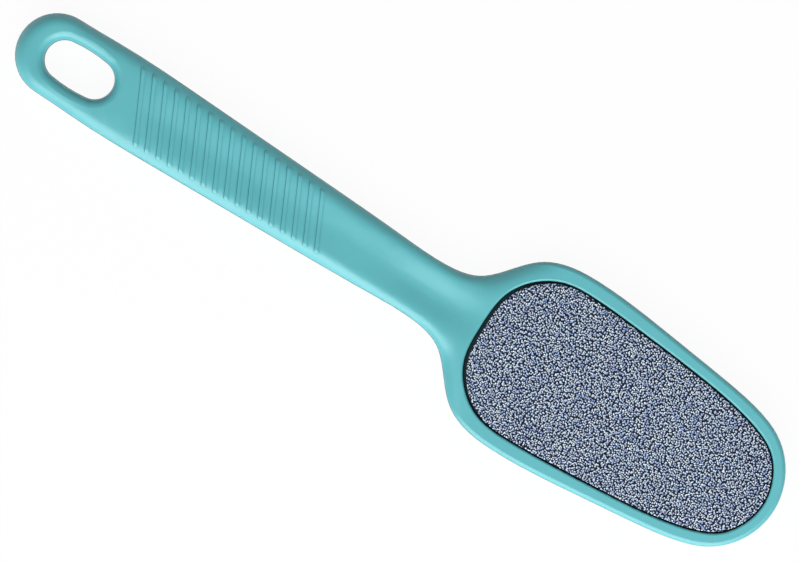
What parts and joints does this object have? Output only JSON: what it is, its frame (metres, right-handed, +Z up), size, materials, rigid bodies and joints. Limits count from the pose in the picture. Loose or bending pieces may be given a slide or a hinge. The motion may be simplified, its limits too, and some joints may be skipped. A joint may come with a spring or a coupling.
{
  "type": "foot file",
  "caption": "Two-sided foot file: a moulded handle with slanted grip ribs and a hanging slot, whose long oval head carries a coarse and a fine abrasive pad in recesses.",
  "frame": {"origin": "under the middle of the overall length and width, on the plane that the fine pad rests on", "axes": "+X from the hanging slot to the head's tip, +Y across, +Z up out of the coarse pad"},
  "size_m": [0.25, 0.056, 0.0086],
  "materials": {
    "handle_plastic": "satin moulded polypropylene, teal through the material",
    "adhesive": "grey acrylic adhesive",
    "carrier_plastic": "plain black moulded plate",
    "backing_paper": "dark waterproof abrasive backing",
    "coarse_grit": "blue-grey abrasive grain, coarse",
    "fine_grit": "blue-grey abrasive grain, fine"
  },
  "bodies": {
    "root": {"handle_frame": "handle_plastic", "coarse_mounting_tape": "adhesive", "coarse_carrier_plate": "carrier_plastic", "coarse_adhesive_film": "adhesive", "coarse_backing_sheet": "backing_paper", "coarse_grit_layer": "coarse_grit", "fine_mounting_tape": "adhesive", "fine_carrier_plate": "carrier_plastic", "fine_adhesive_film": "adhesive", "fine_backing_sheet": "backing_paper", "fine_grit_layer": "fine_grit"}
  },
  "joints": []
}
